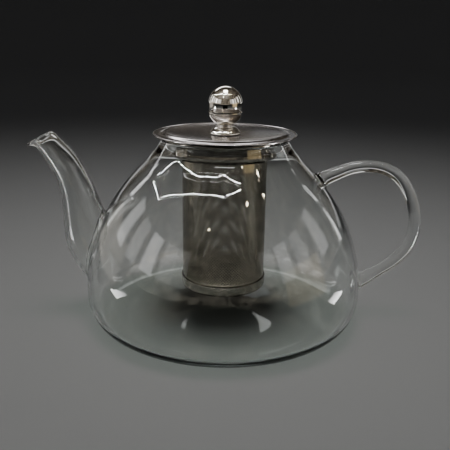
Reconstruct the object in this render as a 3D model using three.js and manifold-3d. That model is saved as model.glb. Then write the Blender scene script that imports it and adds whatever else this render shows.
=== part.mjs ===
// Blown glass teapot with a lift-out stainless steel infuser and a ball-knobbed steel lid.
// Units are millimetres and +Z is up. The origin is on the pot's axis, on the table.
// The spout points along -X and the handle along +X.
// The lid stands on the infuser's flange, and the flange stands on the glass rim.

import * as THREE from 'three';
import { mergeVertices } from 'three/addons/utils/BufferGeometryUtils.js';
import Module from 'manifold-3d';

const wasm = await Module();
wasm.setup();

// ---- Driving dimensions ----

const GAP = 0.3;                 // clearance between pieces that touch
const TOUCH = 0.3;               // the same, for glass that is melted together

const GLASS_WALL = 2.0;          // blown wall
const SPOUT_WALL = 1.8;
const BASE_RING_INNER = 46;      // the flat ring that the pot stands on
const BASE_RING_OUTER = 60;
const PUSH_UP_HEIGHT = 3.2;      // hollow under the middle of the floor
const PUSH_UP_RADIUS = 24;
const FLOOR_THICKNESS = 2.5;
const RIM_TOP = 99.2;            // fire-polished top edge of the mouth
const RIM_RADIUS = 33.8;         // its outer edge
const RIM_ROUNDING = 1.4;
const MOUTH_RADIUS = 31;         // its inner wall
const MOUTH_DEPTH = 2.2;         // how far down that inner wall is straight

const ROD_RADIUS = 3.25;         // solid glass rod of the handle
const TOP_WELD = 1.2;            // how much the rod swells at its two ends
const FOOT_WELD = 2;

const SHEET = 0.5;               // stamped steel sheet
const MESH_SHEET = 0.4;          // perforated sheet
const FLANGE_RADIUS = 33.4;
const FLANGE_THICKNESS = 0.7;
const COLLAR_RADIUS = 27;
const COLLAR_BOTTOM = 92.1;
const BASKET_RADIUS = 22.6;      // outside of the perforated wall
const BASKET_TOP = 90;
const SLEEVE_LENGTH = 5;         // how far the rim's sleeve goes down inside the wall
const CUP_TOP = 23.4;            // edge of the plain cup round the basket's foot
const CUP_BOTTOM = 17.6;
const CUP_CORNER = 2;

const LID_RADIUS = 38;
const LID_SHEET = 0.7;
const LID_CENTRE = 101.4;        // height of the lid's flat middle
const BEAD_RADIUS = 0.45;        // folded edge
const BEAD_RISE = 0.6;           // height of the edge's middle above the lid's middle
const SKIRT_RADIUS = 26.1;
const SKIRT_BOTTOM = 93;
const SKIRT_FLANGE_RADIUS = 32;
const PEDESTAL_RADIUS = 8.1;
const KNOB_NECK_RADIUS = 4.7;    // narrowest part, between the pedestal and the ball
const KNOB_CUP_BOTTOM = 106.8;
const BALL_RADIUS = 8.95;
const BALL_HALF_HEIGHT = 9.3;
const BALL_CENTRE = 117.1;
const BALL_SHEET = 0.6;
const BALL_SEAM = 113;           // where the knob's cap meets its cup
const CAP_EDGE_ANGLE = -24;      // how far below the ball's middle the cap reaches, in degrees
const SCREW_BORE = 2.3;
const SCREW_RADIUS = 2;
const SCREW_TOP = 112;
const SCREW_HEAD_RADIUS = 3.9;
const SCREW_HEAD_HEIGHT = 1.9;
const WASHER_RADIUS = 5.5;
const WASHER_THICKNESS = 0.5;
const NUT_CORNER_RADIUS = 4.04;
const NUT_HEIGHT = 3.2;

const flangeTop = RIM_TOP + GAP + FLANGE_THICKNESS;
const skirtFlangeBottom = flangeTop + GAP;
const skirtFlangeTop = skirtFlangeBottom + SHEET;
const washerTop = LID_CENTRE - LID_SHEET - GAP;
const washerBottom = washerTop - WASHER_THICKNESS;
const pedestalBottom = LID_CENTRE + GAP;

// Facets round the full circle.
const BODY_SEGMENTS = 40;
const LID_SEGMENTS = 40;
const STEEL_SEGMENTS = 32;
const KNOB_SEGMENTS = 20;

// ---- Materials ----

const glass = new THREE.MeshStandardMaterial({
  color: 0xdfe8e4, roughness: 0.03, metalness: 0, transparent: true, opacity: 0.35,
});
const polishedSteel = new THREE.MeshStandardMaterial({ color: 0xcfcac4, roughness: 0.12, metalness: 1 });
const meshSteel = new THREE.MeshStandardMaterial({ color: 0x8f857a, roughness: 0.35, metalness: 1 });
const plainSteel = new THREE.MeshStandardMaterial({ color: 0xb9b4ae, roughness: 0.3, metalness: 1 });

// ---- Helpers ----

// A solid of revolution about Z from (radius, height) points that start and end on the axis
// or close on themselves.
function turned(points, segments) {
  const profile = points.map(([radius, height]) => new THREE.Vector2(radius, height));
  return new THREE.LatheGeometry(profile, segments).rotateX(Math.PI / 2);
}

// A turned ring: its profile closes on itself.
function turnedRing(points, segments) {
  return turned([...points, points[0]], segments);
}

// Points of a smooth curve through [radius, height] pairs.
function smooth(points, count) {
  const curve = new THREE.SplineCurve(points.map(([radius, height]) => new THREE.Vector2(radius, height)));
  return curve.getSpacedPoints(count).map((point) => [point.x, point.y]);
}

// The same curve moved sideways: a positive distance moves it to the left of its direction.
function offset(points, distance) {
  return points.map(([radius, height], index) => {
    const before = points[Math.max(index - 1, 0)];
    const after = points[Math.min(index + 1, points.length - 1)];
    const along = new THREE.Vector2(after[0] - before[0], after[1] - before[1]).normalize();
    return [Math.max(radius - along.y * distance, 0), height + along.x * distance];
  });
}

// Points on an arc about (radius, height), from one angle to the other, in degrees.
function arc(radius, height, size, from, to, steps) {
  return Array.from({ length: steps + 1 }, (_, step) => {
    const angle = THREE.MathUtils.degToRad(from + (to - from) * step / steps);
    return [radius + size * Math.cos(angle), height + size * Math.sin(angle)];
  });
}

// A tube that follows stations in the XZ plane. Each station gives a ring's centre, its half
// width in that plane and along Y, and the angle of its in-plane diameter from +X towards +Z.
function lofted(stations, sides, steps, shrink) {
  const path = new THREE.CatmullRomCurve3(stations.map((s) => new THREE.Vector3(s.x, 0, s.z)));
  const sizes = new THREE.CatmullRomCurve3(
    stations.map((s) => new THREE.Vector3(s.half, s.halfY, THREE.MathUtils.degToRad(s.tilt))),
  );
  const geometry = new THREE.CylinderGeometry(1, 1, 1, sides, steps);
  const position = geometry.attributes.position;
  for (let index = 0; index < position.count; index += 1) {
    const place = position.getY(index) + 0.5;
    const centre = path.getPoint(place);
    const size = sizes.getPoint(place);
    const inPlane = position.getX(index) * (size.x - shrink);
    const across = -position.getZ(index) * (size.y - shrink);
    position.setXYZ(
      index,
      centre.x + inPlane * Math.cos(size.z),
      across,
      centre.z + inPlane * Math.sin(size.z),
    );
  }
  return geometry;
}

// A closed geometry as a solid for cutting, and back.
function solid(geometry) {
  const bare = geometry.clone();
  bare.deleteAttribute('normal');
  bare.deleteAttribute('uv');
  const welded = mergeVertices(bare, 1e-4);
  return new wasm.Manifold(new wasm.Mesh({
    numProp: 3,
    vertProperties: Float32Array.from(welded.attributes.position.array),
    triVerts: Uint32Array.from(welded.index.array),
  }));
}

function geometryOf(manifold) {
  const mesh = manifold.getMesh();
  const geometry = new THREE.BufferGeometry();
  geometry.setAttribute('position', new THREE.BufferAttribute(mesh.vertProperties, 3));
  geometry.setIndex(new THREE.BufferAttribute(mesh.triVerts, 1));
  geometry.computeVertexNormals();
  return geometry;
}

function piece(name, geometry, material) {
  const mesh = new THREE.Mesh(geometry, material);
  mesh.name = name;
  return mesh;
}

// ---- Glass ----

// Outer wall of the pot, from the edge of its resting ring up to the rim.
const wallOutside = smooth([
  [BASE_RING_OUTER, 0], [67.5, 1.6], [71.6, 5], [74.4, 11], [75.15, 20], [74.2, 31], [71.7, 41],
  [68.1, 51], [63.4, 60.5], [57.3, 70], [49.9, 79], [42.4, 87], [37.2, 93.2], [RIM_RADIUS + 0.5, 97.4],
], 17);

// Underside: a flat resting ring and a low hollow in the middle.
const underside = [
  [0, PUSH_UP_HEIGHT], [PUSH_UP_RADIUS * 0.6, PUSH_UP_HEIGHT * 0.86], [PUSH_UP_RADIUS, PUSH_UP_HEIGHT * 0.5],
  [PUSH_UP_RADIUS * 1.5, PUSH_UP_HEIGHT * 0.12], [BASE_RING_INNER, 0],
];

// The envelope is the pot's outside as one full solid, grown by a clearance.
function envelope(clearance) {
  const side = offset(wallOutside, -clearance);
  return solid(turned([[0, -clearance], ...side, [RIM_RADIUS, RIM_TOP], [0, RIM_TOP]], BODY_SEGMENTS));
}

function makeBody() {
  const inside = offset(wallOutside, GLASS_WALL)
    .filter(([, height]) => height > 6 && height < 86)
    .reverse();
  const rim = arc(RIM_RADIUS - RIM_ROUNDING, RIM_TOP - RIM_ROUNDING, RIM_ROUNDING, 20, 160, 4);
  return turned([
    ...underside,
    ...wallOutside,
    ...rim,
    [MOUTH_RADIUS, RIM_TOP - 1.2],
    [MOUTH_RADIUS, RIM_TOP - MOUTH_DEPTH],
    [MOUTH_RADIUS + 1, RIM_TOP - MOUTH_DEPTH - 1.8],
    [MOUTH_RADIUS + 3.4, RIM_TOP - MOUTH_DEPTH - 4],
    [MOUTH_RADIUS + 5.9, RIM_TOP - MOUTH_DEPTH - 6.5],
    ...inside,
    [66.5, 3.9],
    [BASE_RING_OUTER, FLOOR_THICKNESS],
    ...[...underside].reverse().map(([radius, height]) => [radius, height + FLOOR_THICKNESS]),
  ], BODY_SEGMENTS);
}

// The spout leaves the wall low down, bends up sharply and narrows to a flared pouring lip.
const spoutStations = [
  { x: -59, z: 30.8, half: 17.7, halfY: 15.5, tilt: 66 },
  { x: -67.4, z: 35.4, half: 16.7, halfY: 14.8, tilt: 58 },
  { x: -72.3, z: 41, half: 15.6, halfY: 13.8, tilt: 50 },
  { x: -75.4, z: 47, half: 14.2, halfY: 12.6, tilt: 40 },
  { x: -77, z: 53.5, half: 12.3, halfY: 11.4, tilt: 29 },
  { x: -77.9, z: 60.2, half: 10.7, halfY: 10.2, tilt: 20 },
  { x: -79.3, z: 68.9, half: 9.2, halfY: 9.1, tilt: 14 },
  { x: -82.5, z: 78.5, half: 8, halfY: 8, tilt: 19 },
  { x: -86.5, z: 86.2, half: 7.5, halfY: 7.5, tilt: 27 },
  { x: -91, z: 92.4, half: 6.7, halfY: 6.7, tilt: 34 },
  { x: -94.6, z: 96.2, half: 6.6, halfY: 6.3, tilt: 31 },
  { x: -99.1, z: 98, half: 7.4, halfY: 6.4, tilt: 24.5 },
];

// The bore runs on past both ends of the spout, so that it cuts right through.
const boreStations = [
  { x: -49, z: 27, half: 17.7, halfY: 15.5, tilt: 72 },
  ...spoutStations,
  { x: -101.5, z: 102.5, half: 8.4, halfY: 7.2, tilt: 24.5 },
];

// The handle is one bent rod, a little thicker where its two ends are melted on to the wall.
const handleLine = [
  [48.5, 75.6], [55.2, 79], [60.5, 81.2], [68.5, 84.1], [77.2, 85.2], [85.8, 83.9], [93.2, 79.8],
  [99.4, 72.2], [103.2, 63.8], [104.8, 55], [103.8, 45], [99.7, 36.8], [93.3, 30.2], [86, 25.2],
  [78.5, 20.6], [69.5, 16],
];

function handleStations() {
  const last = handleLine.length - 1;
  return handleLine.map(([x, z], index) => {
    const before = handleLine[Math.max(index - 1, 0)];
    const after = handleLine[Math.min(index + 1, last)];
    const direction = Math.atan2(after[1] - before[1], after[0] - before[0]);
    const swelling = Math.max(0, 1 - index / 2) * TOP_WELD + Math.max(0, 1 - (last - index) / 2) * FOOT_WELD;
    const half = ROD_RADIUS + swelling;
    return { x, z, half, halfY: half, tilt: THREE.MathUtils.radToDeg(direction) - 90 };
  });
}

const outside = envelope(TOUCH);
const spoutBore = solid(lofted(boreStations, 16, 18, SPOUT_WALL));
const glassBody = solid(makeBody()).subtract(spoutBore);
const glassSpout = solid(lofted(spoutStations, 16, 16, 0)).subtract(spoutBore).subtract(outside);
const glassHandle = solid(lofted(handleStations(), 10, 26, 0)).subtract(outside);

const pot = new THREE.Group();
pot.add(piece('glass_body', geometryOf(glassBody), glass));
pot.add(piece('glass_spout', geometryOf(glassSpout), glass));
pot.add(piece('glass_handle', geometryOf(glassHandle), glass));

// ---- Infuser ----

// Flange, collar and shoulder are one stamping, with a sleeve that the perforated wall goes over.
function makeInfuserRim() {
  const sleeve = BASKET_RADIUS - MESH_SHEET - GAP;
  const shoulderTop = COLLAR_BOTTOM + SHEET;
  return turnedRing([
    [FLANGE_RADIUS, flangeTop - FLANGE_THICKNESS],
    [FLANGE_RADIUS, flangeTop],
    [COLLAR_RADIUS - SHEET, flangeTop],
    [COLLAR_RADIUS - SHEET, shoulderTop],
    [sleeve - SHEET, shoulderTop - 1.6],
    [sleeve - SHEET, BASKET_TOP - SLEEVE_LENGTH],
    [sleeve, BASKET_TOP - SLEEVE_LENGTH],
    [sleeve, BASKET_TOP + 0.4],
    [COLLAR_RADIUS - 0.8, COLLAR_BOTTOM],
    [COLLAR_RADIUS, COLLAR_BOTTOM + 0.8],
    [COLLAR_RADIUS, flangeTop - FLANGE_THICKNESS],
  ], STEEL_SEGMENTS);
}

// The perforated wall is a rolled sheet. Its fine holes are left out of this solid.
function makeInfuserWall() {
  return turnedRing([
    [BASKET_RADIUS, CUP_BOTTOM + SHEET + GAP],
    [BASKET_RADIUS, BASKET_TOP],
    [BASKET_RADIUS - MESH_SHEET, BASKET_TOP],
    [BASKET_RADIUS - MESH_SHEET, CUP_BOTTOM + SHEET + GAP],
  ], STEEL_SEGMENTS);
}

function makeInfuserCup() {
  const inner = BASKET_RADIUS + GAP;
  const outer = inner + MESH_SHEET;
  return turned([
    [0, CUP_BOTTOM],
    ...arc(outer - CUP_CORNER, CUP_BOTTOM + CUP_CORNER, CUP_CORNER, -90, 0, 4),
    [outer, CUP_TOP],
    [inner, CUP_TOP],
    [inner, CUP_BOTTOM + SHEET + 0.6],
    [inner - 0.6, CUP_BOTTOM + SHEET],
    [0, CUP_BOTTOM + SHEET],
  ], STEEL_SEGMENTS);
}

const infuser = new THREE.Group();
infuser.add(piece('infuser_rim', makeInfuserRim(), polishedSteel));
infuser.add(piece('infuser_wall', makeInfuserWall(), meshSteel));
infuser.add(piece('infuser_cup', makeInfuserCup(), polishedSteel));

// ---- Lid ----

// Top face of the lid from its middle outwards: slightly dished, with a raised shoulder
// and a nearly level border inside the folded edge.
const lidTop = [
  [SCREW_BORE, 0], [9, 0], [20, 0.35], [28, 0.95], [31.2, 1.45], [32.4, 1.6], [33.4, 1.3], [34.4, 0.85],
  [36.4, 0.7],
].map(([radius, rise]) => [radius, LID_CENTRE + rise]);

function makeLidPlate() {
  const underneath = lidTop.slice(0, -1).map(([radius, height]) => [radius, height - LID_SHEET]);
  return turnedRing([
    ...underneath,
    ...arc(LID_RADIUS - BEAD_RADIUS, LID_CENTRE + BEAD_RISE, BEAD_RADIUS, -140, 130, 6),
    ...[...lidTop].reverse(),
  ], LID_SEGMENTS);
}

// The skirt drops inside the infuser's collar and centres the lid. Its flange is welded
// under the plate and stands on the infuser's flange.
function makeLidSkirt() {
  return turnedRing([
    [SKIRT_RADIUS, SKIRT_BOTTOM],
    [SKIRT_RADIUS, skirtFlangeBottom],
    [SKIRT_FLANGE_RADIUS, skirtFlangeBottom],
    [SKIRT_FLANGE_RADIUS, skirtFlangeTop],
    [SKIRT_RADIUS - SHEET, skirtFlangeTop],
    [SKIRT_RADIUS - SHEET, SKIRT_BOTTOM],
  ], STEEL_SEGMENTS);
}

function makePedestal() {
  return turnedRing([
    [SCREW_BORE, pedestalBottom],
    [PEDESTAL_RADIUS - 0.1, pedestalBottom],
    [PEDESTAL_RADIUS, pedestalBottom + 0.5],
    [PEDESTAL_RADIUS - 0.4, pedestalBottom + 1.3],
    [PEDESTAL_RADIUS - 1.3, pedestalBottom + 2.2],
    [KNOB_NECK_RADIUS + 1, pedestalBottom + 3.2],
    [KNOB_NECK_RADIUS + 0.3, pedestalBottom + 4.1],
    [KNOB_NECK_RADIUS, KNOB_CUP_BOTTOM - GAP],
    [SCREW_BORE, KNOB_CUP_BOTTOM - GAP],
  ], KNOB_SEGMENTS);
}

// Lower half of the ball, with a flat floor and a narrow lip under the seam.
function makeKnobCup() {
  const outer = [
    [KNOB_NECK_RADIUS, KNOB_CUP_BOTTOM], [6.2, 107.8], [7.5, 109.3], [8.4, 111], [8.8, 112.3],
    [BALL_RADIUS, BALL_SEAM - 0.4],
  ];
  const inner = offset(outer, BALL_SHEET).reverse();
  return turnedRing([
    [SCREW_BORE, KNOB_CUP_BOTTOM],
    ...outer,
    [BALL_RADIUS, BALL_SEAM],
    [BALL_RADIUS - BALL_SHEET, BALL_SEAM],
    ...inner.slice(1, -1),
    [KNOB_NECK_RADIUS - 0.3, KNOB_CUP_BOTTOM + BALL_SHEET],
    [SCREW_BORE, KNOB_CUP_BOTTOM + BALL_SHEET],
  ], KNOB_SEGMENTS);
}

function makeKnobCap() {
  const lowest = THREE.MathUtils.degToRad(CAP_EDGE_ANGLE);
  const shell = (inset) => Array.from({ length: 9 }, (_, step) => {
    const angle = lowest + (Math.PI / 2 - lowest) * step / 8;
    return [
      step === 8 ? 0 : (BALL_RADIUS - inset) * Math.cos(angle),
      BALL_CENTRE + (BALL_HALF_HEIGHT - inset) * Math.sin(angle),
    ];
  });
  const outer = shell(0);
  const inner = shell(BALL_SHEET).slice(1).reverse();
  return turned([...inner, [outer[0][0] - BALL_SHEET, outer[0][1]], ...outer], KNOB_SEGMENTS);
}

// Pan-head screw from below, through the lid and the pedestal into a nut inside the ball.
function makeScrew() {
  const headTop = washerBottom - GAP * 0.5;
  return turned([
    [0, headTop - SCREW_HEAD_HEIGHT],
    [SCREW_HEAD_RADIUS * 0.77, headTop - SCREW_HEAD_HEIGHT],
    [SCREW_HEAD_RADIUS, headTop - SCREW_HEAD_HEIGHT * 0.63],
    [SCREW_HEAD_RADIUS, headTop],
    [SCREW_RADIUS, headTop],
    [SCREW_RADIUS, SCREW_TOP - 0.4],
    [SCREW_RADIUS - 0.4, SCREW_TOP],
    [0, SCREW_TOP],
  ], KNOB_SEGMENTS);
}

function makeWasher() {
  return turnedRing([
    [SCREW_BORE, washerBottom],
    [WASHER_RADIUS, washerBottom],
    [WASHER_RADIUS, washerTop],
    [SCREW_BORE, washerTop],
  ], KNOB_SEGMENTS);
}

function makeNut() {
  const bottom = KNOB_CUP_BOTTOM + BALL_SHEET + GAP;
  const corner = (index) => {
    const angle = index * Math.PI / 3;
    return [NUT_CORNER_RADIUS * Math.cos(angle), NUT_CORNER_RADIUS * Math.sin(angle)];
  };
  const outline = new THREE.Shape();
  outline.moveTo(...corner(0));
  [1, 2, 3, 4, 5].forEach((index) => outline.lineTo(...corner(index)));
  outline.closePath();
  const bore = new THREE.Path();
  bore.absarc(0, 0, SCREW_BORE, 0, Math.PI * 2, true);
  outline.holes.push(bore);
  const geometry = new THREE.ExtrudeGeometry(outline, {
    depth: NUT_HEIGHT, bevelEnabled: false, curveSegments: 12,
  });
  return geometry.translate(0, 0, bottom);
}

const lid = new THREE.Group();
lid.add(piece('lid_plate', makeLidPlate(), polishedSteel));
lid.add(piece('lid_skirt', makeLidSkirt(), plainSteel));
lid.add(piece('knob_pedestal', makePedestal(), polishedSteel));
lid.add(piece('knob_cup', makeKnobCup(), polishedSteel));
lid.add(piece('knob_cap', makeKnobCap(), polishedSteel));
lid.add(piece('knob_screw', makeScrew(), plainSteel));
lid.add(piece('screw_washer', makeWasher(), plainSteel));
lid.add(piece('knob_nut', makeNut(), plainSteel));

const teapot = new THREE.Group();
teapot.add(pot, infuser, lid);

export default teapot;
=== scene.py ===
"""Looks of a glass teapot: a pot of blown glass, a perforated steel infuser and a steel lid with a ball knob.

Shapes are worked out in millimetres, with +Z up and the pot's axis at the origin, and made in metres.
"""

import math

import bmesh
import bpy
import numpy as np
from mathutils import Matrix, Vector, noise
from mathutils.geometry import delaunay_2d_cdt


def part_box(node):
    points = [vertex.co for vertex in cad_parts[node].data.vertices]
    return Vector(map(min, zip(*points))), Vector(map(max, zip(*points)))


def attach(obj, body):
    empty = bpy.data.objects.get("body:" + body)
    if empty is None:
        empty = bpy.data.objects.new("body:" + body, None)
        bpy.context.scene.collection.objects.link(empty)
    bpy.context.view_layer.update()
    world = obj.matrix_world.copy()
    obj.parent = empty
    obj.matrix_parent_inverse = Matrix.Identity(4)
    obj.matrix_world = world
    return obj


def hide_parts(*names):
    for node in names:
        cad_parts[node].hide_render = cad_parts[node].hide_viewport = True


MM = 0.001
TURN = 2 * math.pi

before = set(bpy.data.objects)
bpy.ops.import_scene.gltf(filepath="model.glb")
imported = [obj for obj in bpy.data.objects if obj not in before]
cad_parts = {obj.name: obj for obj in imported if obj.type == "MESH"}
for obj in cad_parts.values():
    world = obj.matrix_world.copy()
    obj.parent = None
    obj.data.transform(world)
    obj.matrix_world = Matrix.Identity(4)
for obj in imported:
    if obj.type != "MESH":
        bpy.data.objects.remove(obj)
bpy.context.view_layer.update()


def corners(node):
    """The lowest and highest corner of a CAD node, in millimetres."""
    low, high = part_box(node)
    return low / MM, high / MM


# ---- Curves and profiles ----


def curve(rows, count):
    """Rows at even steps along a smooth curve through the given rows. Their first two columns are a place."""
    rows = np.array(rows, float)
    gaps = np.linalg.norm(np.diff(rows[:, :2], axis=0), axis=1)
    knots = np.concatenate([[0], np.cumsum(np.sqrt(gaps))])
    slopes = np.gradient(rows, knots, axis=0)
    dense = []
    for k, width in enumerate(np.diff(knots)):
        t = np.linspace(0, 1, 60, endpoint=False)[:, None]
        dense.append(
            (2 * t**3 - 3 * t**2 + 1) * rows[k]
            + (t**3 - 2 * t**2 + t) * width * slopes[k]
            + (3 * t**2 - 2 * t**3) * rows[k + 1]
            + (t**3 - t**2) * width * slopes[k + 1]
        )
    dense = np.vstack([*dense, rows[-1:]])
    return resample(dense, count)


def resample(rows, count):
    """Rows at even steps along a polyline."""
    length = np.concatenate([[0], np.cumsum(np.linalg.norm(np.diff(rows[:, :2], axis=0), axis=1))])
    places = np.linspace(0, length[-1], count + 1)
    return np.column_stack([np.interp(places, length, column) for column in rows.T])


def arc(radius, height, size, start, end, steps):
    """Points on an arc about (radius, height), between two angles in degrees."""
    angles = np.radians(np.linspace(start, end, steps + 1))
    return np.column_stack([radius + size * np.cos(angles), height + size * np.sin(angles)])


def unit(vectors):
    """The vectors at length one."""
    return vectors / np.maximum(np.linalg.norm(vectors, axis=-1, keepdims=True), 1e-12)


def profile(points, closed, steps=5):
    """A profile and its direction at each point.

    A point is (radius, height), which the profile passes smoothly, or (radius, height, rounding), a corner.
    """
    places = np.array([point[:2] for point in points], float)
    count = len(places)
    made, directions = [], []
    for k, point in enumerate(points):
        first, last = not closed and k == 0, not closed and k == count - 1
        before = places[k] - places[k - 1]
        after = places[(k + 1) % count] - places[k]
        if first or last:
            made.append(places[k])
            directions.append(unit(after if first else before))
        elif len(point) == 2:
            made.append(places[k])
            directions.append(unit(unit(before) + unit(after)))
        else:
            cosine = np.clip(unit(before) @ unit(after), -1, 1)
            reach = point[2] * math.tan(math.acos(cosine) / 2)
            reach = min(reach, 0.49 * np.linalg.norm(before), 0.49 * np.linalg.norm(after))
            start = places[k] - unit(before) * reach
            end = places[k] + unit(after) * reach
            for t in np.linspace(0, 1, steps + 1):
                made.append((1 - t) ** 2 * start + 2 * t * (1 - t) * places[k] + t**2 * end)
                directions.append(unit((1 - t) * unit(before) + t * unit(after)))
    return np.array(made), np.array(directions)


# ---- Meshes ----


class Skin:
    """The vertices, their normals and the faces of one piece."""

    def __init__(self):
        self.points = []
        self.normals = []
        self.faces = []

    def add(self, points, normals):
        """Adds vertices of any array shape, and gives their numbers in the same shape."""
        points = np.asarray(points, float)
        first = len(self.points)
        self.points.extend(points.reshape(-1, 3))
        self.normals.extend(np.asarray(normals, float).reshape(-1, 3))
        return np.arange(first, len(self.points)).reshape(points.shape[:-1])

    def stitch(self, rings, closed=False):
        """Faces between neighbouring rings of vertices, and between the last and the first if they close."""
        rings = list(rings)
        pairs = zip(rings, rings[1:] + rings[:1] if closed else rings[1:])
        for low, high in pairs:
            for a, b, c, d in zip(low, np.roll(low, -1), np.roll(high, -1), high):
                self.faces.append((a, b, c, d))

    def turn(self, points, directions, segments, closed, skip=()):
        """Turns a profile about Z. A point on the axis becomes one vertex. Gives the vertex numbers."""
        angles = np.arange(segments) * TURN / segments
        rounds = np.column_stack([np.cos(angles), np.sin(angles)])
        rows = []
        for (radius, height), (along, up) in zip(points, directions):
            if radius < 1e-6:
                pole = self.add([[0, 0, height]], [[0, 0, 1]])
                rows.append(np.repeat(pole, segments))
                continue
            place = np.column_stack([rounds * radius, np.full(segments, height)])
            facing = np.column_stack([rounds * up, np.full(segments, -along)])
            rows.append(self.add(place, facing))
        rows = np.array(rows)
        after = np.roll(rows, -1, axis=0) if closed else rows[1:]
        for k, (low, high) in enumerate(zip(rows, after)):
            for j in range(segments):
                if (k, j) in skip:
                    continue
                face = [low[j], low[(j + 1) % segments], high[(j + 1) % segments], high[j]]
                self.faces.append(tuple(dict.fromkeys(face)))
        return rows

    def piece(self, name, own_normals=True):
        """The finished mesh object, in metres, with its faces pointing out."""
        used = sorted({int(v) for face in self.faces for v in face})
        number = {v: k for k, v in enumerate(used)}
        faces = [[number[int(v)] for v in face] for face in self.faces]
        mesh = bpy.data.meshes.new(name)
        mesh.from_pydata((np.array(self.points)[used] * MM).tolist(), [], faces)
        shape = bmesh.new()
        shape.from_mesh(mesh)
        bmesh.ops.recalc_face_normals(shape, faces=shape.faces)
        shape.to_mesh(mesh)
        shape.free()
        mesh.shade_smooth()
        if own_normals:
            measured = np.zeros(len(mesh.vertices) * 3, np.float32)
            mesh.vertices.foreach_get("normal", measured)
            stated = unit(np.array(self.normals)[used])
            facing = np.sign((stated * measured.reshape(-1, 3)).sum(axis=1))
            mesh.normals_split_custom_set_from_vertices((stated * facing[:, None]).tolist())
        made = bpy.data.objects.new(name, mesh)
        bpy.context.scene.collection.objects.link(made)
        return made


# ---- The pot: body, spout and handle in one piece of glass ----

BODY_SEGMENTS = 168
WALL = 2.0
SPOUT_WALL = 1.8
FLOOR = 2.5
LIP_SIDES = 60
ROD_SIDES = 32
ROD_RADIUS = 3.25
TOP_WELD = 1.2
FOOT_WELD = 2.0
WELD_RIPPLE = 0.5
WELD_LUMP = 2.2
LIP_BEAD = 2
LIP_REACH = 2.2

RIM_TOP = corners("glass_body")[1].z
RIM_ROUNDING = 1.4
RIM_RADIUS = 33.8
MOUTH_RADIUS = 31

# The outside of the body, from its resting ring up to the rim.
OUTSIDE = [
    (60, 0), (67.5, 1.6), (71.6, 5), (74.4, 11), (75.15, 20), (74.2, 31), (71.7, 41),
    (68.1, 51), (63.4, 60.5), (57.3, 70), (49.9, 79), (42.4, 87), (37.2, 93.2), (34.3, 97.4),
]
# The underside, from the top of its push-up out to the resting ring.
UNDERSIDE = [(0, 3.2), (14.4, 2.75), (24, 1.6), (36, 0.38), (46, 0)]

# Stations of the spout: centre (x, z), half width in the pot's plane and across it, and lean in degrees.
SPOUT = [
    (-59, 30.8, 17.7, 15.5, 66), (-67.4, 35.4, 16.7, 14.8, 58), (-72.3, 41, 15.6, 13.8, 50),
    (-75.4, 47, 14.2, 12.6, 40), (-77, 53.5, 12.3, 11.4, 29), (-77.9, 60.2, 10.7, 10.2, 20),
    (-79.3, 68.9, 9.2, 9.1, 14), (-82.5, 78.5, 8, 8, 19), (-86.5, 86.2, 7.5, 7.5, 27),
    (-91, 92.4, 6.7, 6.7, 34), (-94.4, 96.3, 6.3, 6.3, 31), (-96.4, 97.8, 6.3, 6.3, 27),
    (-97.7, 98.5, 6.8, 6.4, 21),
]
# The spout's bore starts further inside the pot, at this station.
BORE_ROOT = (-49, 27, 17.7, 15.5, 72)
# How far along the spout its rounded lip starts, as a share of the steps.
LIP_START = 0.991

# Middle line of the handle's rod, from its upper weld to its foot.
HANDLE = [
    (48.5, 75.6), (55.2, 79), (60.5, 81.2), (68.5, 84.1), (77.2, 85.2), (85.8, 83.9),
    (93.2, 79.8), (99.4, 72.2), (103.2, 63.8), (104.8, 55), (103.8, 45), (99.7, 36.8),
    (93.3, 30.2), (86, 25.2), (78.5, 20.6), (69.5, 16),
]


def moved_inwards(points, distance):
    """A profile moved square to itself, towards the inside of the glass."""
    along = unit(np.gradient(points, axis=0))
    return points + np.column_stack([-along[:, 1], along[:, 0]]) * distance


def pot_profile():
    """The whole profile of the glass, and the rows that its outer and inner walls take up.

    It runs from the middle of the underside, round the rim, to the middle of the floor inside.
    """
    underside = curve(UNDERSIDE, 16)
    ring = np.linspace(underside[-1], OUTSIDE[0], 5)[1:-1]
    outside = curve(OUTSIDE, 52)
    rim = arc(RIM_RADIUS - RIM_ROUNDING, RIM_TOP - RIM_ROUNDING, RIM_ROUNDING, 15, 165, 9)
    wall = moved_inwards(curve(OUTSIDE, 24), WALL)
    wall = wall[(wall[:, 1] > 6) & (wall[:, 1] < 86)][::-1]
    floor = [(r, z + FLOOR) for r, z in reversed(UNDERSIDE)]
    neck = [(0, 1.5), (0.15, 2.6), (1.1, 4.2), (3.4, 6.4), (5.9, 8.9)]
    mouth = [(MOUTH_RADIUS + out, RIM_TOP - down) for out, down in neck]
    inside = curve([*mouth, *wall, (66.5, 3.9), (60, FLOOR), *floor], 88)
    rows = np.vstack([underside, ring, outside, rim, inside])
    outer = range(len(underside) + len(ring) + 1, len(underside) + len(ring) + len(outside) - 1)
    inner = range(len(rows) - len(inside) + 8, len(rows) - 30)
    return rows, unit(np.gradient(rows, axis=0)), outer, inner


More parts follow.
